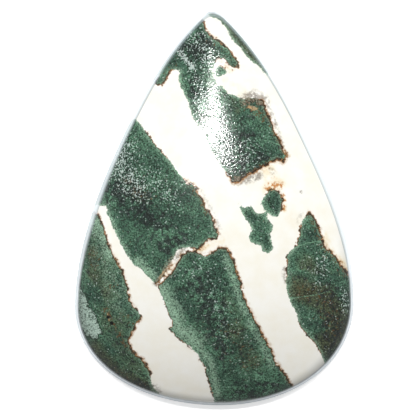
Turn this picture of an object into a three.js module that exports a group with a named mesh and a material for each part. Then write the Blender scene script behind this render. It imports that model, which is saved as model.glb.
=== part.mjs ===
// A polished green and white jasper, ground as a pear-shaped cabochon: one solid stone with
// a flat back, a thin tapered wall round its edge and a low dome. Millimetres, +Z up. The
// stone lies on its back with its point towards +Y, and the origin is under its middle.

import * as THREE from "three";

// Driving dimensions
const LENGTH = 42;
const WIDTH = 29.7;
const THICKNESS = 6.2;

// The rim: a small bevel under the edge, then a wall that leans inwards as it rises
const BACK_BEVEL = 0.4;
const WALL_TOP = 2.0;
const WALL_LEAN = 0.5;

// The dome: its peak lies over the round end, and its foot is rounded into the wall
const PEAK_Y = -6;
const DOME_FULLNESS = 2.2;
const DOME_SHOULDER = 0.9;
const FOOT_ON_WALL = 0.92;
const FOOT_ON_DOME = 0.99;
const FOOT_STEPS = 3;
const DOME_RINGS = 18;

// The egg that the level curves turn into as they near the peak, as half-axes from the peak
const EGG_SIDE = 14;
const EGG_TO_POINT = 20;
const EGG_TO_ROUND_END = 15;

// The outline, clockwise from the point: place, heading in degrees from +X, length of the
// curve's handle before and after that place, and how many steps lead on to the next one
const OUTLINE = [
  { x: -0.2, y: 21.0, heading: 0, before: 0.45, after: 0.35, steps: 5 },
  { x: 0.95, y: 20.5, heading: -42, before: 0.35, after: 4.0, steps: 14 },
  { x: 8.85, y: 9.2, heading: -64, before: 4.7, after: 8.9, steps: 16 },
  { x: 14.85, y: -10.0, heading: -90, before: 6.8, after: 6.6, steps: 17 },
  { x: 0.6, y: -21.0, heading: 180, before: 7.8, after: 8.8, steps: 17 },
  { x: -14.85, y: -10.4, heading: 90, before: 6.3, after: 6.3, steps: 16 },
  { x: -8.8, y: 9.5, heading: 63, before: 6.9, after: 5.4, steps: 14 },
  { x: -1.1, y: 20.6, heading: 44, before: 4.6, after: 0.4, steps: 5 },
];

function handle(anchor, distance) {
  const turn = THREE.MathUtils.degToRad(anchor.heading);
  return new THREE.Vector2(
    anchor.x + distance * Math.cos(turn),
    anchor.y + distance * Math.sin(turn),
  );
}

// The outline as points, counter-clockwise, fitted to LENGTH and WIDTH about the origin
function outlinePoints() {
  const points = [];
  OUTLINE.forEach((from, i) => {
    const to = OUTLINE[(i + 1) % OUTLINE.length];
    const curve = new THREE.CubicBezierCurve(
      new THREE.Vector2(from.x, from.y),
      handle(from, from.after),
      handle(to, -to.before),
      new THREE.Vector2(to.x, to.y),
    );
    points.push(...curve.getSpacedPoints(from.steps).slice(0, -1));
  });
  const box = new THREE.Box2().setFromPoints(points);
  const middle = box.getCenter(new THREE.Vector2());
  const size = box.getSize(new THREE.Vector2());
  const fit = new THREE.Vector2(WIDTH / size.x, LENGTH / size.y);
  return points.map((p) => p.clone().sub(middle).multiply(fit)).reverse();
}

// A place on the stone's side: an outline point drawn in towards the peak by a distance
function insetPoint(point, inset, z) {
  const arm = new THREE.Vector2(point.x, point.y - PEAK_Y);
  arm.setLength(arm.length() - inset);
  return new THREE.Vector3(arm.x, arm.y + PEAK_Y, z);
}

// A place on the dome: share is 1 at the dome's edge and 0 at its peak. The level curve
// there is a mix of the stone's own outline and the egg, and the height falls away as
// (1 - share ^ DOME_FULLNESS) ^ DOME_SHOULDER.
function domePoint(point, share) {
  const arm = new THREE.Vector2(point.x, point.y - PEAK_Y);
  const edge = arm.length() - WALL_LEAN;
  arm.normalize();
  const along = arm.y > 0 ? EGG_TO_POINT : EGG_TO_ROUND_END;
  const egg = 1 / Math.hypot(arm.x / EGG_SIDE, arm.y / along);
  const reach = share * (edge * share ** 2 + egg * (1 - share ** 2));
  const rise = (1 - share ** DOME_FULLNESS) ** DOME_SHOULDER;
  const z = WALL_TOP + (THICKNESS - WALL_TOP) * rise;
  return new THREE.Vector3(arm.x * reach, arm.y * reach + PEAK_Y, z);
}

// The rounded foot between wall and dome: a curve from the wall past their shared edge
function footPoint(point, t) {
  const wallHeight = THREE.MathUtils.lerp(BACK_BEVEL, WALL_TOP, FOOT_ON_WALL);
  return new THREE.QuadraticBezierCurve3(
    insetPoint(point, WALL_LEAN * FOOT_ON_WALL, wallHeight),
    insetPoint(point, WALL_LEAN, WALL_TOP),
    domePoint(point, FOOT_ON_DOME),
  ).getPoint(t);
}

// The stone's level rings from its back up to the dome's last ring
function stoneRings(points) {
  const rings = [
    points.map((p) => insetPoint(p, BACK_BEVEL, 0)),
    points.map((p) => insetPoint(p, 0, BACK_BEVEL)),
  ];
  for (let i = 0; i < FOOT_STEPS; i += 1) {
    rings.push(points.map((p) => footPoint(p, i / FOOT_STEPS)));
  }
  for (let i = 0; i < DOME_RINGS; i += 1) {
    const share = FOOT_ON_DOME * (1 - i / DOME_RINGS);
    rings.push(points.map((p) => domePoint(p, share)));
  }
  return rings;
}

// One closed skin over the rings, with a point under the first and a point over the last
function skin(rings, bottom, top) {
  const count = rings[0].length;
  const places = [bottom, ...rings.flat(), top];
  const last = places.length - 1;
  const index = [];
  for (let i = 0; i < count; i += 1) {
    const next = (i + 1) % count;
    index.push(0, 1 + next, 1 + i);
    for (let ring = 0; ring < rings.length - 1; ring += 1) {
      const low = 1 + ring * count;
      const high = low + count;
      index.push(low + i, low + next, high + next);
      index.push(low + i, high + next, high + i);
    }
    const edge = 1 + (rings.length - 1) * count;
    index.push(edge + i, edge + next, last);
  }
  const geometry = new THREE.BufferGeometry().setFromPoints(places);
  geometry.setIndex(index);
  geometry.computeVertexNormals();
  return geometry;
}

function stone() {
  const rings = stoneRings(outlinePoints());
  const bottom = new THREE.Vector3(0, PEAK_Y, 0);
  const top = new THREE.Vector3(0, PEAK_Y, THICKNESS);
  const material = new THREE.MeshStandardMaterial({
    color: 0x54806a,
    roughness: 0.12,
    metalness: 0,
  });
  const mesh = new THREE.Mesh(skin(rings, bottom, top), material);
  mesh.name = "stone";
  return mesh;
}

const cabochon = new THREE.Group();
cabochon.add(stone());

export default cabochon;
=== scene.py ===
import bpy
import numpy as np
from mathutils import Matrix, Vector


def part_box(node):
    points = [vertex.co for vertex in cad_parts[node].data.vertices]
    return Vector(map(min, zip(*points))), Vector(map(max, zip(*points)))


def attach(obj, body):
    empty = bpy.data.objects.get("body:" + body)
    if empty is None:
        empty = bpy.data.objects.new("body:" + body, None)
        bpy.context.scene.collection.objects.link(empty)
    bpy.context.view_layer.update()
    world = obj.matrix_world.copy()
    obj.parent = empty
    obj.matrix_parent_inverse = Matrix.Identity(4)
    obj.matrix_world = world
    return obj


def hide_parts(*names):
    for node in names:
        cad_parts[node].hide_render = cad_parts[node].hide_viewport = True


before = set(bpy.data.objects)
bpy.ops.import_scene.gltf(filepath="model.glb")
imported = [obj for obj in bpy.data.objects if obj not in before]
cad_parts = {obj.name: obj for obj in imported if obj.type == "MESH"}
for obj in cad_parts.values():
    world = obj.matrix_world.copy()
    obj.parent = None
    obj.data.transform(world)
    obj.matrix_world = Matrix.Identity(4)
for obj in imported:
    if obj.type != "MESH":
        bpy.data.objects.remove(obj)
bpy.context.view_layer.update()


# The camera looks straight down on the dome, with the stone's point at the top of the
# picture. Its height gives the photograph's framing through a long lens.
MM = 0.001
PICTURE_PIXELS = 416
FRAME_WIDTH = 44.35 * MM
FRAME_MIDDLE = (-0.67 * MM, 0.03 * MM)
GIRDLE_HEIGHT = 0.4 * MM
LENS = 100
SENSOR = 36
CAMERA_RISE = FRAME_WIDTH * LENS / SENSOR

camera = bpy.data.objects.new("camera", bpy.data.cameras.new("camera"))
camera.data.lens = LENS
camera.data.sensor_width = SENSOR
camera.data.clip_start = 0.01
camera.location = (*FRAME_MIDDLE, GIRDLE_HEIGHT + CAMERA_RISE)
bpy.context.scene.collection.objects.link(camera)
bpy.context.scene.camera = camera


# The studio: a pale floor, a narrow bright lamp leaning in from the stone's point, wide soft
# panels at the sides and a faint even sky, shown without a film-like tone curve.
FLOOR_SIZE = 1.2
FLOOR_GAP = 0.02 * MM
FLOOR_PAINT = (0.6, 0.6, 0.6, 1)
FLOOR_GLOW = 0.62
LAMP_DISTANCE = 0.5
KEY_AZIMUTH = -3
KEY_TILT = 25.7
KEY_SIZE = (0.22, 0.02)
KEY_POWER = 2.4
WARM_LIGHT = (1.0, 0.985, 0.96)
PANEL_AZIMUTH = 60
PANEL_TILT = 68
PANEL_SIZE = (0.4, 0.2)
PANEL_POWER = 0.8
COOL_LIGHT = (0.93, 0.97, 1.0)
SKY_COLOUR = (0.9, 0.95, 1.0, 1)
SKY_STRENGTH = 0.12


def sheet_mesh(name, size):
    """A square sheet just under the stone: its corners are plus and minus half the size."""
    half = size / 2
    corners = [
        (-half, -half, -FLOOR_GAP),
        (half, -half, -FLOOR_GAP),
        (half, half, -FLOOR_GAP),
        (-half, half, -FLOOR_GAP),
    ]
    mesh = bpy.data.meshes.new(name)
    mesh.from_pydata(corners, [], [(0, 1, 2, 3)])
    return mesh


def add_lamp(name, azimuth, tilt, size, power, colour, shines=True):
    """An area lamp aimed at the stone: azimuth is turned from +Y to +X, and tilt is off
    vertical. One that does not shine lights the stone but shows in no reflection."""
    turn, lean = np.radians(azimuth), np.radians(tilt)
    data = bpy.data.lights.new(name, "AREA")
    data.shape = "RECTANGLE"
    data.size, data.size_y = size
    data.energy = power
    data.color = colour
    lamp = bpy.data.objects.new(name, data)
    lamp.location = (
        LAMP_DISTANCE * np.sin(lean) * np.sin(turn),
        LAMP_DISTANCE * np.sin(lean) * np.cos(turn),
        LAMP_DISTANCE * np.cos(lean),
    )
    lamp.rotation_euler = (lean, 0, np.pi - turn)
    lamp.visible_glossy = shines
    bpy.context.scene.collection.objects.link(lamp)


floor = bpy.data.objects.new("floor", sheet_mesh("floor", FLOOR_SIZE))
bpy.context.scene.collection.objects.link(floor)

floor_paint = bpy.data.materials.new("pale floor")
floor_paint.use_nodes = True
floor_shader = floor_paint.node_tree.nodes["Principled BSDF"]
floor_shader.inputs["Base Color"].default_value = FLOOR_PAINT
floor_shader.inputs["Roughness"].default_value = 0.9
floor_shader.inputs["Specular IOR Level"].default_value = 0.0
floor_shader.inputs["Emission Color"].default_value = (1, 1, 1, 1)
floor_shader.inputs["Emission Strength"].default_value = FLOOR_GLOW
floor.data.materials.append(floor_paint)

add_lamp("key", KEY_AZIMUTH, KEY_TILT, KEY_SIZE, KEY_POWER, WARM_LIGHT)
for side, azimuth in (("left", -PANEL_AZIMUTH), ("right", PANEL_AZIMUTH)):
    add_lamp(f"{side} panel", azimuth, PANEL_TILT, PANEL_SIZE, PANEL_POWER, COOL_LIGHT, False)

sky = bpy.data.worlds.new("sky")
sky.use_nodes = True
sky_light = sky.node_tree.nodes["Background"]
sky_light.inputs["Color"].default_value = SKY_COLOUR
sky_light.inputs["Strength"].default_value = SKY_STRENGTH
bpy.context.scene.world = sky
bpy.context.scene.view_settings.view_transform = "Standard"


# The stone: one piece of green and white jasper, sawn and ground to a pear-shaped cabochon
# with a flat back, a thin tapered wall and a low dome. The dome is polished, the wall and
# its bevel are left as they were ground, and the back's finish is between the two.
BACK_BEVEL = 0.4 * MM
WALL_TOP = 2.0 * MM
WALL_LEAN = 0.5 * MM
PEAK_Y = -6.0 * MM
DOME_FULLNESS = 2.2
DOME_SHOULDER = 0.9
FOOT_ON_WALL = 0.92
FOOT_ON_DOME = 0.99
EGG_SIDE = 14.0 * MM
EGG_TO_POINT = 20.0 * MM
EGG_TO_ROUND_END = 15.0 * MM

# The outline clockwise from the point, in millimetres: place, heading in degrees from +X,
# and the length of the curve's handle before and after that place
OUTLINE = [
    (-0.2, 21.0, 0, 0.45, 0.35),
    (0.95, 20.5, -42, 0.35, 4.0),
    (8.85, 9.2, -64, 4.7, 8.9),
    (14.85, -10.0, -90, 6.8, 6.6),
    (0.6, -21.0, 180, 7.8, 8.8),
    (-14.85, -10.4, 90, 6.3, 6.3),
    (-8.8, 9.5, 63, 6.9, 5.4),
    (-1.1, 20.6, 44, 4.6, 0.4),
]

# How finely the skin is divided: steps along each curve of the outline, places round each
# ring, and rings in each part of the stone
CURVE_STEPS = 400
STEPS_ROUND = 600
BACK_RINGS = 40
BEVEL_RINGS = 4
WALL_RINGS = 8
FOOT_RINGS = 6
DOME_RINGS = 100

# How far the back is only ground, from 0 for polished to 1, and how wide a strip of the
# dome's foot is left ground with the wall
BACK_GROUND = 0.3
POLISH_INSET = 0.3 * MM


def outline_places(count):
    """The outline at equal arc lengths, counter-clockwise: each stretch is the cubic curve
    (1-t)^3 a + 3 (1-t)^2 t b + 3 (1-t) t^2 c + t^3 d, fitted to the CAD node's box."""
    anchors = np.array(OUTLINE)
    place, turn = anchors[:, :2], np.radians(anchors[:, 2])
    heading = np.column_stack([np.cos(turn), np.sin(turn)])
    first = place
    second = place + heading * anchors[:, 4:5]
    last = np.roll(place, -1, axis=0)
    third = last - np.roll(heading * anchors[:, 3:4], -1, axis=0)
    t = np.linspace(0, 1, CURVE_STEPS, endpoint=False)[None, :, None]
    shares = [(1 - t) ** 3, 3 * (1 - t) ** 2 * t, 3 * (1 - t) * t**2, t**3]
    curves = sum(s * c[:, None, :] for s, c in zip(shares, (first, second, third, last)))
    path = curves.reshape(-1, 2)
    low, high = (np.array(corner)[:2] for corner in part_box("stone"))
    path_low, path_high = path.min(axis=0), path.max(axis=0)
    path = low + (path - path_low) * (high - low) / (path_high - path_low)
    closed = np.vstack([path, path[:1]])
    length = np.concatenate([[0], np.cumsum(np.hypot(*np.diff(closed, axis=0).T))])
    wanted = np.linspace(0, length[-1], count, endpoint=False)
    even = [np.interp(wanted, length, closed[:, axis]) for axis in (0, 1)]
    return np.column_stack(even)[::-1]


def stone_grid():
    """Rings of places (ring, step, xyz) from the back's middle up to the peak, for each ring
    the dome's height above it, and for each place how far it is only ground, not polished. A
    dome ring at share s reaches s (edge s^2 + egg (1 - s^2)) from the peak, and its height
    above the wall is (thickness - WALL_TOP) (1 - s^2.2)^0.9."""
    arm = outline_places(STEPS_ROUND) - (0, PEAK_Y)
    length = np.hypot(*arm.T)
    way = arm / length[:, None]
    along = np.where(way[:, 1] > 0, EGG_TO_POINT, EGG_TO_ROUND_END)
    egg = 1 / np.hypot(way[:, 0] / EGG_SIDE, way[:, 1] / along)
    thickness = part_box("stone")[1].z

    # the ground strip on the dome's foot: full width on the flanks, none at the round end
    strip = POLISH_INSET * np.clip(0.5 + 2 * way[:, 1], 0, 1)

    def ring(reach, height):
        flat = way * np.atleast_1d(reach)[:, None] + (0, PEAK_Y)
        return np.column_stack([flat, np.full(STEPS_ROUND, height)])

    def dome_height(share):
        return WALL_TOP + (thickness - WALL_TOP) * (1 - share**DOME_FULLNESS) ** DOME_SHOULDER

    def dome_ring(share):
        edge = length - WALL_LEAN
        reach = share * (edge * share**2 + egg * (1 - share**2))
        return ring(reach, dome_height(share))

    rings, tops, ground = [], [], []
    for share in np.linspace(0, 1, BACK_RINGS, endpoint=False)[1:]:
        spread = share * ((length - BACK_BEVEL) * share**2 + egg * (1 - share**2))
        rings.append(ring(spread, 0))
        tops.append(dome_height(share))
        ground.append(BACK_GROUND)
    for turn in np.linspace(0, np.pi / 2, BEVEL_RINGS):
        inset = BACK_BEVEL * (1 - np.sin(turn))
        rings.append(ring(length - inset, BACK_BEVEL * (1 - np.cos(turn))))
        tops.append(WALL_TOP)
        ground.append(1)
    for share in np.linspace(0, FOOT_ON_WALL, WALL_RINGS, endpoint=False)[1:]:
        height = BACK_BEVEL + share * (WALL_TOP - BACK_BEVEL)
        rings.append(ring(length - WALL_LEAN * share, height))
        tops.append(WALL_TOP)
        ground.append(1)
    wall_end = ring(
        length - WALL_LEAN * FOOT_ON_WALL,
        BACK_BEVEL + FOOT_ON_WALL * (WALL_TOP - BACK_BEVEL),
    )
    edge_ring = ring(length - WALL_LEAN, WALL_TOP)
    foot_end = dome_ring(FOOT_ON_DOME)
    for t in np.linspace(0, 1, FOOT_RINGS, endpoint=False):
        foot = (1 - t) ** 2 * wall_end + 2 * t * (1 - t) * edge_ring + t**2 * foot_end
        rings.append(foot)
        tops.append(max(WALL_TOP, foot[0, 2]))
        ground.append(1)
    for share in np.linspace(FOOT_ON_DOME, 0, DOME_RINGS, endpoint=False):
        rings.append(dome_ring(share))
        tops.append(dome_height(share))
        ground.append(np.clip((share - 1 + strip / length) * DOME_RINGS, 0, 1))
    ground = np.stack([np.full(STEPS_ROUND, value, float) for value in ground])
    return np.stack(rings), np.array(tops), ground, thickness


def stone_mesh():
    """The rings joined into one closed skin, with a point under the first ring and one over
    the last, and for each vertex the dome's height above it and how far it is only ground.
    Quads that are only ground at all four corners take the second material."""
    rings, tops, ground, thickness = stone_grid()
    count, steps = rings.shape[:2]
    bottom = [[0, PEAK_Y, 0]]
    peak = [[0, PEAK_Y, thickness]]
    places = np.vstack([bottom, rings.reshape(-1, 3), peak])
    above = np.concatenate([[thickness], np.repeat(tops, steps), [thickness]])
    ground = np.concatenate([[BACK_GROUND], ground.ravel(), [0]])
    step = np.arange(steps)
    after = (step + 1) % steps
    start = 1 + np.arange(count - 1)[:, None] * steps
    quads = np.stack(
        [start + step, start + after, start + steps + after, start + steps + step], axis=-1
    ).reshape(-1, 4)
    last_ring = 1 + (count - 1) * steps
    under = np.column_stack([np.zeros_like(step), 1 + after, 1 + step])
    over = np.column_stack([last_ring + step, last_ring + after, np.full(steps, len(places) - 1)])
    mesh = bpy.data.meshes.new("polished stone")
    mesh.from_pydata(places.tolist(), [], under.tolist() + quads.tolist() + over.tolist())
    all_ground = ground[quads].min(axis=1) == 1
    second = np.concatenate([np.zeros(steps), all_ground, np.zeros(steps)])
    mesh.polygons.foreach_set("material_index", second.astype(np.int32))
    mesh.shade_smooth()
    return mesh, places, above, ground


# Where the markings lie, read in the photograph's own pixels. Each patch is an
# outline that may run on past the stone's rim.
CROWN = [
    (202, 19), (206, 30), (212, 37), (222, 43), (229, 50), (236, 59), (239, 67), (234, 69),
    (229, 65), (223, 58), (217, 58), (213, 66), (212, 75), (217, 83), (224, 88), (230, 94),
    (214, 120), (204, 136), (199, 127), (196, 122), (192, 116), (188, 101), (180, 85),
    (179, 78), (180, 71), (176, 69.5), (170, 71), (166, 79), (162, 85), (155, 84), (165, 60),
    (190, 20),
]
CROWN_ISLET = [(218, 66), (223, 67), (228, 72), (224, 75), (218, 78), (214, 74)]
RIM_SLIVER = [
    (206, 12), (211, 17), (218, 19), (226, 28), (230, 36), (236, 44), (242, 51), (250, 60),
    (258, 66), (267, 75), (272, 72), (255, 50), (232, 22), (215, 6),
]
FIR_TREE = [
    (204, 100), (216, 88), (227, 92), (234, 95), (242, 99), (247, 97), (256, 97), (263, 102),
    (266, 111), (272, 125), (279, 141), (281.5, 149), (288, 157), (283, 162), (278, 158),
    (272, 162), (266, 164.5), (256, 171), (246, 174), (238, 182), (232.5, 182), (229, 175),
    (222, 167), (214, 155), (208, 144), (203, 134),
]
WIDE_BAND = [
    (130, 112), (138, 121), (147.5, 134), (155.5, 145), (166, 156.5), (177, 170), (187, 183),
    (194, 184), (197, 191), (203, 200), (206, 209), (213, 218), (214, 227), (219, 234),
    (216.5, 239), (209, 239), (203, 244), (198, 248), (190, 247), (184, 248), (178, 250),
    (174, 258), (168, 266), (163, 277), (156, 284), (150, 279), (140, 268), (134, 266),
    (129, 258), (122, 247), (117, 236), (112, 225), (107, 212), (105, 205), (101, 206),
    (88, 200),
]
LEFT_PATCH = [
    (97, 214), (104, 228), (108, 244), (114, 257), (122, 271), (126, 285), (130, 300),
    (136, 310), (141, 316), (140, 320), (133, 329), (128.5, 340), (131, 350), (142, 359.5),
    (148, 369), (151, 379), (154, 388), (162, 397), (140, 410), (60, 350), (60, 230), (88, 205),
]
CENTRE_BAND = [
    (158, 286), (163, 281), (170, 275), (177, 266), (182, 256), (187, 252), (196, 252),
    (204, 255), (213, 253), (219, 248), (227, 248), (231, 256), (235, 267), (240, 281),
    (243, 294.5), (248, 307), (255, 320), (263, 336), (271, 349), (275, 361), (283, 373),
    (294, 388), (290, 415), (216, 420), (214, 402), (211, 390), (208, 378), (204, 366),
    (198, 355), (190, 346), (181, 341), (174, 335), (170, 329), (173, 323), (168, 314),
    (165, 302), (160, 293),
]
SMALL_BLOB = [
    (238.5, 204.5), (243, 208), (248, 207), (252, 205), (254, 210), (259, 213), (266, 212.5),
    (268, 219), (273, 226), (271, 234), (272, 243), (274, 248), (269, 253.5), (263, 251.5),
    (261, 246), (256, 244), (250, 241), (248.5, 236), (252, 230), (248, 222), (243, 215),
]
ROUND_BLOB = [
    (268, 191), (274, 189), (280, 193), (283, 201), (282, 210), (278, 217), (271, 215),
    (264, 210), (261, 203), (265, 197),
]
RIGHT_PATCH = [
    (309, 212), (315, 219), (320, 231), (324, 245), (336, 258), (348, 274), (358, 284),
    (370, 330), (330, 372), (325, 363), (321, 353), (315, 343), (307, 334), (299, 325),
    (296, 312), (291, 304), (288, 294.5), (286, 281), (287, 266), (286, 256), (296, 246),
    (299, 236), (302, 221),
]
GREEN_PATCHES = [
    CROWN, CROWN_ISLET, RIM_SLIVER, FIR_TREE, WIDE_BAND, LEFT_PATCH, CENTRE_BAND, SMALL_BLOB,
    ROUND_BLOB, RIGHT_PATCH,
]
LICHEN_PATCH = [
    (76, 283), (82, 289), (86.5, 299), (88, 306), (94.5, 314), (96, 321), (101, 331), (98, 338),
    (93, 339), (85, 334), (74, 320), (70, 295),
]

# Brushed stretches: a line of pixels, how far it spreads in pixels, and its strength
RUST_STROKES = [
    ([(202, 22), (215, 40), (230, 52), (239, 67), (232, 69), (217, 58)], 4, 0.8),
    ([(159, 82), (162, 85), (170, 71)], 4, 0.8),
    ([(147, 133), (166, 156)], 4, 0.45),
    ([(187, 181), (194, 184), (197, 192)], 5, 0.9),
    ([(198, 192), (206, 208), (214, 220), (219, 235), (208, 240), (197, 250)], 4, 0.8),
    ([(197, 250), (213, 253), (220, 248), (228, 249), (235, 267), (241, 286)], 4, 0.95),
    ([(243, 294), (255, 320), (271, 349), (283, 373), (293, 388)], 4, 1.0),
    ([(160, 285), (172, 272), (182, 256), (196, 251)], 5, 0.8),
    ([(98, 214), (108, 244), (122, 271), (130, 300), (136, 309)], 4, 0.85),
    ([(140, 319), (129, 340), (131, 351), (143, 360), (150, 372)], 4, 1.0),
    ([(263, 102), (272, 125), (282, 149), (288, 157), (283, 162)], 5, 0.95),
    ([(282, 161), (266, 165), (256, 171), (246, 174), (236, 183), (230, 177)], 5, 1.7),
    ([(309, 212), (320, 232), (325, 246), (337, 259), (350, 276)], 5, 0.95),
    ([(300, 228), (297, 244)], 4, 0.6),
    ([(287, 256), (286, 275)], 4, 0.35),
    ([(299, 324), (321, 352)], 4, 0.35),
    ([(165, 303), (173, 322), (170, 329), (182, 341), (204, 366), (213, 395)], 3, 0.35),
    ([(266, 191), (275, 188), (282, 195), (283, 208)], 4, 0.7),
]
MINT_STROKES = [
    ([(160, 290), (172, 312), (178, 330), (195, 342)], 11, 0.9),
    ([(195, 342), (210, 362), (218, 395)], 5, 0.8),
    ([(225, 256), (232, 275), (240, 300), (250, 322), (262, 345), (272, 365)], 5, 0.65),
    ([(108, 212), (120, 243), (132, 262), (148, 278)], 4, 0.7),
    ([(138, 262), (152, 277)], 7, 0.8),
    ([(95, 222), (104, 240), (110, 256)], 8, 0.8),
    ([(124, 285), (134, 310)], 4, 0.5),
    ([(210, 72), (214, 92), (204, 106)], 8, 0.6),
    ([(225, 100), (214, 120), (212, 145)], 9, 0.5),
    ([(289, 262), (292, 295), (300, 318)], 4, 0.3),
    ([(207, 62), (218, 71), (226, 70)], 5, 0.5),
    ([(98, 232), (108, 270), (118, 305)], 13, 0.4),
]
PALE_GRAIN_AND_GLINT_STROKES = [
    ([(122, 150), (118, 168), (140, 188)], 15, 1.0),
    ([(125, 185), (150, 175), (170, 200)], 14, 0.6),
    ([(196, 40), (208, 58)], 12, 0.9),
    ([(179, 51), (193, 68)], 3.5, 1.6),
    ([(196, 80), (205, 100)], 9, 0.8),
    # over the key lamp's reflection: pale specks here are partly painted glints, partly the
    # green's own grain
    ([(205, 100), (214, 130), (222, 160)], 18, 0.9),
    ([(245, 150), (250, 165)], 14, 0.6),
    ([(205, 270), (214, 300), (228, 330)], 11, 0.4),
    ([(325, 255), (318, 285)], 8, 0.6),
    ([(345, 292), (345, 310)], 6, 0.8),
    ([(185, 275), (205, 268)], 9, 0.4),
]
DARK_STROKES = [
    ([(118, 192), (138, 205), (152, 222)], 15, 0.75),
    ([(150, 196), (168, 224)], 8, 0.4),
    ([(165, 245), (178, 240)], 12, 0.5),
    ([(186, 48), (200, 52), (206, 42)], 9, 0.9),
    ([(192, 82), (190, 95)], 8, 0.6),
    ([(245, 140), (255, 160), (232, 165)], 16, 0.55),
    ([(200, 290), (212, 318), (222, 352)], 14, 0.6),
    ([(240, 395), (275, 390)], 12, 0.5),
    ([(90, 365), (120, 385), (150, 395)], 12, 0.7),
    ([(268, 198), (276, 210)], 6, 0.4),
    ([(330, 300), (335, 345)], 14, 0.7),
]
OLIVE_STROKES = [
    ([(300, 290), (325, 298), (345, 330), (325, 345)], 16, 1.0),
    ([(305, 262), (320, 272)], 12, 0.6),
    ([(215, 15), (232, 36), (248, 55), (262, 68)], 8, 0.9),
    ([(92, 250), (95, 275), (105, 292)], 10, 0.7),
    ([(95, 240), (105, 290), (118, 330), (130, 370)], 22, 0.5),
    ([(95, 350), (115, 375), (150, 392)], 13, 0.9),
    ([(125, 180), (145, 200)], 8, 0.6),
    ([(235, 330), (250, 360)], 14, 0.6),
    ([(230, 300), (240, 320)], 10, 0.4),
    ([(238, 112), (232, 98)], 6, 0.6),
]
STAIN_STROKES = [
    ([(268, 170), (273, 180)], 9, 0.5),
    ([(268, 188), (280, 185)], 6, 0.9),
    ([(107, 312), (109, 320)], 1.6, 0.9),
    ([(284, 195), (284, 210)], 3, 0.8),
    ([(228, 80), (240, 92), (246, 97)], 9, 0.25),
    ([(226, 66), (230, 70)], 4, 0.45),
    ([(250, 107), (256, 109)], 5, 0.85),
    ([(196, 251), (206, 247)], 4, 0.6),
    ([(206, 247), (222, 240)], 4, 0.45),
    ([(160, 278), (171, 264)], 4, 0.85),
    ([(174, 262), (180, 254)], 3, 0.3),
    ([(180, 180), (200, 200)], 5, 0.35),
    ([(323, 234), (330, 249), (349, 272)], 4, 0.5),
    ([(288, 215), (297, 225)], 9, 0.18),
    ([(308, 158), (310, 166)], 7, 0.12),
    ([(117, 262), (132, 290)], 7, 0.12),
]
SMOKE_STROKES = [
    ([(245, 100), (254, 96), (263, 101)], 6, 1.1),
    ([(237, 181), (258, 176)], 5, 0.9),
    ([(270, 168), (273, 172)], 4, 0.5),
    ([(166, 269), (171, 262), (183, 251)], 4, 0.9),
    ([(156, 284), (163, 277)], 3, 1.2),
    ([(267, 105), (276, 125), (284, 150)], 3, 0.6),
    ([(201, 190), (215, 215), (220, 230)], 3, 0.35),
    ([(300.7, 191.8), (301, 192)], 2, 1.0),
    ([(284, 268), (285, 282)], 3, 0.5),
    ([(154, 386), (160, 392)], 4, 0.5),
    ([(302, 212), (298, 222)], 3, 0.35),
]
CRUMB_STROKES = [
    ([(231, 177), (238, 180), (246, 174)], 4, 1.0),
    ([(246, 101), (262, 104)], 5, 0.8),
    ([(106, 309), (112, 322), (126, 346)], 4, 1.0),
    ([(125, 316), (135, 326)], 4, 0.7),
    ([(92, 250), (98, 268)], 8, 0.5),
    ([(108, 288), (114, 284)], 4, 0.7),
    ([(266, 187), (284, 188)], 5, 1.0),
    ([(238, 182), (262, 168), (270, 163)], 5, 1.2),
    ([(246, 103), (256, 113), (263, 118)], 6, 0.9),
    ([(225, 330), (250, 365)], 16, 0.45),
    ([(302, 290), (325, 300), (340, 330)], 16, 0.55),
    ([(125, 180), (150, 200)], 9, 0.5),
    ([(188, 185), (199, 196), (207, 214)], 4, 0.9),
    ([(266, 112), (274, 130), (284, 152)], 4, 0.8),
    ([(206, 40), (226, 52), (234, 64)], 4, 0.5),
    ([(311, 218), (324, 250), (346, 276)], 5, 0.7),
    ([(297, 232), (293, 250)], 4, 0.5),
    ([(110, 372), (140, 386)], 9, 0.6),
    ([(163, 80), (176, 56)], 6, 0.5),
]
HAIRLINES = [
    [(289.7, 298.4), (309, 296), (320, 294), (328, 291.5), (343, 294)],
    [(296, 247), (307, 243), (321, 241)],
    [(259, 139), (268, 141), (278, 144)],
    [(223.5, 287), (238, 284)],
    [(97, 292), (103, 288), (111, 283)],
]
PITS = [(108.3, 316.7), (111.7, 323.2)]

# Below the dome the layers dip and wander: millimetres sideways for each millimetre down
LAYER_DIP = np.array([0.55, -0.35])
LAYER_WANDER = 0.3
WANDER_ALONG = 3.1 * MM
WANDER_ACROSS = 2.3 * MM

# Painted shade round the round end: a grey that stands in for the shade on the dome's steep foot
# there. How far it climbs the dome's foot, where it starts, and how far towards the round end
# it takes to come in fully
SHADE_CLIMB = 0.7 * MM
SHADE_START = -2.0 * MM
SHADE_FADE = 9.0 * MM


def on_picture(pixels):
    """Pixels of the photograph as places in its plane at the girdle's height, in metres."""
    pixel = FRAME_WIDTH / PICTURE_PIXELS
    across = FRAME_MIDDLE[0] + (np.array(pixels)[:, 0] - PICTURE_PIXELS / 2) * pixel
    up = FRAME_MIDDLE[1] - (np.array(pixels)[:, 1] - PICTURE_PIXELS / 2) * pixel
    return np.column_stack([across, up])


def line_distance(place, line):
    """The distance from each place to a line of points: to the nearest point of its nearest
    stretch, whose share along the stretch is held between 0 and 1."""
    start, stretch = line[:-1], np.diff(line, axis=0)
    offset = place[:, None, :] - start
    along = (offset * stretch).sum(axis=-1) / (stretch**2).sum(axis=-1)
    offset -= np.clip(along, 0, 1)[..., None] * stretch
    return np.sqrt((offset**2).sum(axis=-1).min(axis=1))


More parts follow.
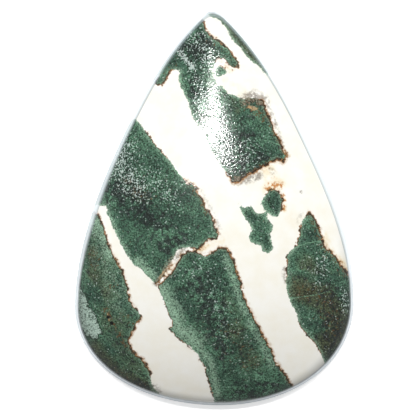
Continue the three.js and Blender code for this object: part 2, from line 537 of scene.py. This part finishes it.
def patch_depth(place, pixels):
    """The distance in from a patch's edge, and less than 0 outside it: a place is inside
    where a line from it towards +X crosses the edge an odd number of times."""
    corners = on_picture(pixels)
    closed = np.vstack([corners, corners[:1]])
    start, end = closed[:-1], closed[1:]
    spans = (start[:, 1] > place[:, 1:]) != (end[:, 1] > place[:, 1:])
    rise = np.where(end[:, 1] == start[:, 1], 1, end[:, 1] - start[:, 1])
    crossing = start[:, 0] + (place[:, 1:] - start[:, 1]) * (end[:, 0] - start[:, 0]) / rise
    inside = (spans & (crossing > place[:, :1])).sum(axis=1) % 2 == 1
    return np.where(inside, 1, -1) * line_distance(place, closed)


def brushed(place, strokes):
    """How strongly strokes mark each place: strength times exp(-(distance / spread)^2)."""
    pixel = FRAME_WIDTH / PICTURE_PIXELS
    marks = [
        strength * np.exp(-((line_distance(place, on_picture(line)) / (spread * pixel)) ** 2))
        for line, spread, strength in strokes
    ]
    return np.max(marks, axis=0)


def add_markings(mesh, places, above, ground):
    """Gives each vertex its marks: those of the dome above it, as seen from the camera, but
    shifted sideways by the depth below the dome times the layers' dip and wander."""
    scale = CAMERA_RISE / (CAMERA_RISE + GIRDLE_HEIGHT - above)
    seen = FRAME_MIDDLE + (places[:, :2] - FRAME_MIDDLE) * scale[:, None]
    down = (above - places[:, 2])[:, None]
    wander = np.sin(places[:, [1, 0]] / (WANDER_ALONG, WANDER_ACROSS))
    place = seen + down * (LAYER_DIP + LAYER_WANDER * wander)
    height = places[:, 2]
    # painted shade: grey towards the round end, low on the dome's foot and the wall
    near_wall = np.clip(1 - (height - WALL_TOP) / SHADE_CLIMB, 0, 1)
    above_back = np.clip(height / BACK_BEVEL, 0, 1)
    to_round_end = np.clip((SHADE_START - places[:, 1]) / SHADE_FADE, 0, 1)
    patches = [patch_depth(place, patch) for patch in GREEN_PATCHES]
    hairlines = [line_distance(place, on_picture(line)) for line in HAIRLINES]
    pits = [np.hypot(*(place - pit).T) for pit in on_picture(PITS)]
    marks = {
        "green": np.max(patches, axis=0) / MM,
        "lichen": patch_depth(place, LICHEN_PATCH) / MM,
        "rust": brushed(place, RUST_STROKES),
        "mint": brushed(place, MINT_STROKES),
        # pale grain, and over the key lamp's reflection partly painted glints
        "pale_grain_and_glints": brushed(place, PALE_GRAIN_AND_GLINT_STROKES),
        "dark": brushed(place, DARK_STROKES),
        "olive": brushed(place, OLIVE_STROKES),
        "stain": brushed(place, STAIN_STROKES),
        "smoke": brushed(place, SMOKE_STROKES),
        "crumbs": brushed(place, CRUMB_STROKES),
        "ground": ground,
        # painted shade round the round end
        "round_end_shade": near_wall * above_back * to_round_end,
        "hairline": np.min(hairlines, axis=0) / MM,
        "pit": np.min(pits, axis=0) / MM,
    }
    for name, values in marks.items():
        layer = mesh.attributes.new(name, "FLOAT", "POINT")
        layer.data.foreach_set("value", values.astype(np.float32))


class Value:
    """A shader socket that takes part in arithmetic: each operator adds one Math node."""

    def __init__(self, finish, socket):
        self.finish = finish
        self.socket = socket

    def __add__(self, other):
        return self.finish.maths("ADD", self, other)

    def __radd__(self, other):
        return self.finish.maths("ADD", other, self)

    def __sub__(self, other):
        return self.finish.maths("SUBTRACT", self, other)

    def __rsub__(self, other):
        return self.finish.maths("SUBTRACT", other, self)

    def __mul__(self, other):
        return self.finish.maths("MULTIPLY", self, other)

    def __rmul__(self, other):
        return self.finish.maths("MULTIPLY", other, self)

    def __abs__(self):
        return self.finish.maths("ABSOLUTE", self)


class Finish:
    """A material's node tree. node() adds any node: its settings first, then its inputs."""

    def __init__(self, name):
        self.material = bpy.data.materials.new(name)
        self.material.use_nodes = True
        self.tree = self.material.node_tree
        self.tree.nodes.clear()

    def node(self, kind, settings, inputs, output=0):
        made = self.tree.nodes.new(kind)
        for name, setting in settings.items():
            setattr(made, name, setting)
        for entry, given in inputs.items():
            if isinstance(given, Value):
                self.tree.links.new(given.socket, made.inputs[entry])
            else:
                made.inputs[entry].default_value = given
        return Value(self, made.outputs[output]) if made.outputs else None

    def maths(self, operation, *values):
        return self.node("ShaderNodeMath", {"operation": operation}, dict(enumerate(values)))

    def mark(self, name):
        """A mark of the mesh, as a number that varies over the surface."""
        return self.node("ShaderNodeAttribute", {"attribute_name": name}, {}, "Fac")

    def noise(self, place, per_mm, detail=2.0, roughness=0.5):
        """Smooth noise about 0.5, with its largest lumps 1 / per_mm millimetres across."""
        inputs = {
            "Vector": place,
            "Scale": per_mm,
            "Detail": detail,
            "Roughness": roughness,
        }
        return self.node("ShaderNodeTexNoise", {}, inputs, "Fac")

    def step(self, value, start, end):
        """0 up to start and 1 from end on, with a smooth rise between (start may be larger)."""
        settings = {"interpolation_type": "SMOOTHSTEP"}
        inputs = {"Value": value, "From Min": start, "From Max": end}
        return self.node("ShaderNodeMapRange", settings, inputs)

    def blend(self, share, first, second):
        """A mix of two colours: the first where share is 0 and the second where it is 1."""
        settings = {"data_type": "RGBA"}
        return self.node("ShaderNodeMix", settings, {0: share, 6: first, 7: second}, 2)

    def shade(self, colour, strength):
        """A colour made darker or lighter: each of its parts times the strength."""
        settings = {"operation": "SCALE"}
        lit = colour if isinstance(colour, Value) else colour[:3]
        return self.node("ShaderNodeVectorMath", settings, {0: lit, "Scale": strength})

    def shifted(self, place, offset):
        """The same place moved, so that a second noise there is not like the first."""
        return self.node("ShaderNodeVectorMath", {"operation": "ADD"}, {0: place, 1: offset})


def paint(red, green, blue):
    """A colour as a screen shows it, 0 to 255, turned into the linear colour of a shader."""
    part = np.array([red, green, blue]) / 255
    linear = np.where(part <= 0.04045, part / 12.92, ((part + 0.055) / 1.055) ** 2.4)
    return (*linear.tolist(), 1.0)


# The jasper's colours, as they look on a screen
CLEAN_WHITE = paint(247, 246, 241)
CREAM = paint(242, 238, 225)
HONEY = paint(232, 208, 150)
RUST_ORANGE = paint(190, 120, 46)
DEEP_GREEN = paint(57, 83, 69)
MAIN_GREEN = paint(83, 119, 96)
OLIVE = paint(76, 74, 52)
DARK_SLATE = paint(42, 46, 47)
MINT = paint(146, 176, 152)
DARK_GRAIN = paint(36, 42, 37)
PALE_SPECK = paint(190, 204, 198)
RUSTY_CRUMB = paint(98, 72, 46)
PEACH = paint(202, 166, 124)
HAIRLINE_GREEN = paint(126, 168, 138)
LICHEN_PALE = paint(158, 178, 166)
LICHEN_HOLE = paint(62, 78, 68)
LICHEN_RIM = paint(40, 46, 40)
SMOKE_TAN = paint(142, 128, 110)
SMOKE_BROWN = paint(74, 62, 54)
SEAM_GLOW = paint(178, 138, 92)
SEAM_TAN = paint(146, 102, 56)
SEAM_DARK = paint(46, 35, 27)
PIT_BLACK = paint(22, 22, 20)
# painted shade for the crease where the dome's polish meets the ground strip
EDGE_SHADE_LINE = paint(70, 76, 78)
# partly the ground stone's pale frost, partly a painted reflection of the surroundings
FROST_AND_REFLECTION_GREY = paint(165, 178, 184)
# painted shade, not a colour of the stone
PAINTED_SHADE_GREY = paint(74, 77, 76)


def jasper_finish(name, frost):
    """The jasper: ragged green patches with brown seams in cream white. Frost is 0 for the
    polished stone and 1 for its ground wall, which has a pale bloom where it is seen at a low
    angle and none of the polish's second gloss."""
    jasper = Finish(name)
    step, blend, noise, shade, mark = (
        jasper.step, jasper.blend, jasper.noise, jasper.shade, jasper.mark
    )
    metres = jasper.node("ShaderNodeTexCoord", {}, {}, "Object")
    settings = {"operation": "SCALE"}
    place = jasper.node("ShaderNodeVectorMath", settings, {0: metres, "Scale": 1 / MM})
    far = jasper.shifted(place, (37.0, 11.0, 5.0))
    farther = jasper.shifted(place, (-19.0, 53.0, 7.0))

    # noises that several layers share, each about 0
    grit = noise(place, 6.6, 1.0, 0.5) - 0.5
    sand = noise(far, 5.6, 1.0, 0.5) - 0.5
    teeth = noise(farther, 3.6, 3.0, 0.65) - 0.5
    knots = noise(far, 1.7, 2.0, 0.5) - 0.5
    lumps = noise(place, 0.9, 2.0) - 0.5
    mist = noise(farther, 0.45, 4.0, 0.6) - 0.5

    # the patches' ragged edge, with more curls where a seam runs
    rust = mark("rust")
    edge = mark("green") + lumps * 0.4 + teeth * 0.5 + knots * (0.15 + rust * 0.45)
    is_green = step(edge, -0.04, 0.06)

    # cream white ground, with warm clouds and rusty stains
    white = blend(step(mist, -0.3, 0.3), CLEAN_WHITE, CREAM)
    stain = mark("stain")
    warm = step(stain * (1 + knots * 3.0 + mist * 2.0), 0.05, 0.75)
    white = blend(warm * 0.45, white, HONEY)
    orange = step(stain * (1 + teeth * 4.0 + knots * 2.0), 0.5, 1.1)
    white = blend(orange * 0.9, white, RUST_ORANGE)

    # green ground, clouded from deep to main, with olive, dark and mint zones
    green = blend(step(mist, -0.14, 0.14), DEEP_GREEN, MAIN_GREEN)
    olive = step(mark("olive") + mist * 1.2 + knots * 0.5, 0.2, 0.9)
    green = blend(olive * 0.75, green, OLIVE)
    dark = mark("dark")
    dark_zone = step(dark + knots * 3.6 + grit * 1.2 + mist * 0.6, 0.35, 0.8)
    green = blend(dark_zone * 0.85, green, DARK_SLATE)
    mint = step(mark("mint") + grit * 0.6 + knots * 0.8, 0.1, 1.1)
    fringe = step(edge, 0.5, 0.0) * (0.6 - rust * 0.35)
    paleness = jasper.maths("MAXIMUM", mint * 0.8, fringe)
    green = blend(paleness, green, MINT)

    # its grain: mottled all over, with dark grains, pale specks and rusty crumbs; where the key
    # lamp's reflection falls, the pale specks are partly painted glints
    pale = mark("pale_grain_and_glints")
    green = shade(green, 1 + lumps * 0.8 + grit * (2.8 - paleness + dark + pale * 3.0))
    grains = step(sand + dark * 0.05 + pale * 0.04 - paleness * 0.08, 0.03, 0.12)
    green = blend(grains * 0.75, green, DARK_GRAIN)
    specks = step(teeth * 0.5 - sand + pale * 0.18 - paleness * 0.05, 0.19, 0.28)
    green = blend(specks * 0.8, green, PALE_SPECK)
    crumbs = step(teeth + mark("crumbs") * 0.2, 0.17, 0.24)
    green = blend(crumbs * 0.75, green, RUSTY_CRUMB)
    peach = step(stain + teeth * 0.8, 0.6, 0.95)
    green = blend(peach * 0.85, green, PEACH)
    hairline = step(mark("hairline") + knots * 0.12, 0.09, 0.03)
    green = blend(hairline * 0.6, green, HAIRLINE_GREEN)

    # the lichen-like pale patch, with dark holes and a dark line round it
    lichen_edge = mark("lichen") + lumps * 0.8 + knots * 0.9 + teeth * 0.8
    holes = step(sand + knots * 0.6, 0.04, 0.1)
    lichen = blend(holes * 0.8, shade(LICHEN_PALE, 1 + grit * 1.6), LICHEN_HOLE)
    green = blend(step(abs(lichen_edge), 0.2, 0.08) * 0.8, green, LICHEN_RIM)
    green = blend(step(lichen_edge, -0.02, 0.08), green, lichen)

    # grey smoke over both, and brown seams on the patches' edges with a tan glow outside
    smoke = step(mark("smoke") * (1 + teeth * 4.0 + knots * 2.0), 0.1, 1.0)
    soot = blend(step(sand, -0.1, 0.1), SMOKE_TAN, SMOKE_BROWN)
    colour = blend(smoke * 0.7, blend(is_green, white, green), soot)
    glow = step(abs(edge + 0.1), 0.34, 0.0) * step(rust + knots * 1.5, 0.35, 1.1)
    colour = blend(glow * 0.6, colour, SEAM_GLOW)
    half_width = 0.02 + rust * 0.07 + knots * 0.15 + teeth * 0.15
    seam = step(abs(edge) - half_width, 0.06, 0.0) * step(rust, 0.12, 0.35)
    brown = blend(step(edge + knots * 0.5, -0.09, 0.05), SEAM_TAN, SEAM_DARK)
    colour = blend(seam * 0.92, colour, brown)
    pit = mark("pit")
    colour = blend(step(pit + teeth * 0.4, 0.24, 0.16), colour, PIT_BLACK)

    # a surface that is only ground is pale and dull; its blue-grey is partly the frost's own
    # colour and partly a painted reflection of the surroundings, darker over white. A painted
    # shade line marks where polish begins, at marks between the back's 0.3 and the wall's 1
    ground = mark("ground")
    # painted shade: a dark line where the polish meets the ground strip, standing in for the
    # shade in that crease
    line = step(abs(ground - 0.6), 0.3, 0.1) * 0.6
    colour = blend(line, colour, EDGE_SHADE_LINE)
    colour = blend(ground * (0.75 - is_green * 0.35), colour, FROST_AND_REFLECTION_GREY)

    # painted shade: a little grey on the wall and along the dome's foot round the round end,
    # standing in for the shade that falls there
    colour = blend(mark("round_end_shade") * 0.65, colour, PAINTED_SHADE_GREY)

    # polish: smooth on white, finely pitted on green, where small dull spots break the gloss,
    # and rougher where the stone is only ground
    dull = step(noise(farther, 6.2, 1.0), 0.58, 0.46)
    facets = noise(far, 4.8, 1.0) * is_green * (0.5 + pale)
    bump = jasper.node(
        "ShaderNodeBump",
        {},
        {"Strength": 1.0, "Distance": 0.025 * MM, "Height": facets},
    )
    shader = jasper.node(
        "ShaderNodeBsdfPrincipled",
        {},
        {
            "Base Color": colour,
            "Roughness": 0.09 + is_green * 0.02 + ground * 0.2,
            "IOR": 1.54,
            "Specular IOR Level": 0.45,
            "Coat Weight": 0.0 if frost else 1 - is_green * dull,
            "Coat Roughness": 0.17,
            "Sheen Weight": frost,
            "Sheen Roughness": 0.4,
            "Sheen Tint": (0.86, 0.93, 1.0, 1.0),
            "Normal": bump,
        },
    )
    jasper.node("ShaderNodeOutputMaterial", {}, {"Surface": shader})
    return jasper.material


stone_body, stone_places, dome_above, only_ground = stone_mesh()
add_markings(stone_body, stone_places, dome_above, only_ground)
stone_body.materials.append(jasper_finish("polished jasper", 0.0))
stone_body.materials.append(jasper_finish("ground jasper", 1.0))
stone = bpy.data.objects.new("polished_stone", stone_body)
bpy.context.scene.collection.objects.link(stone)
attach(stone, "root")
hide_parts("stone")
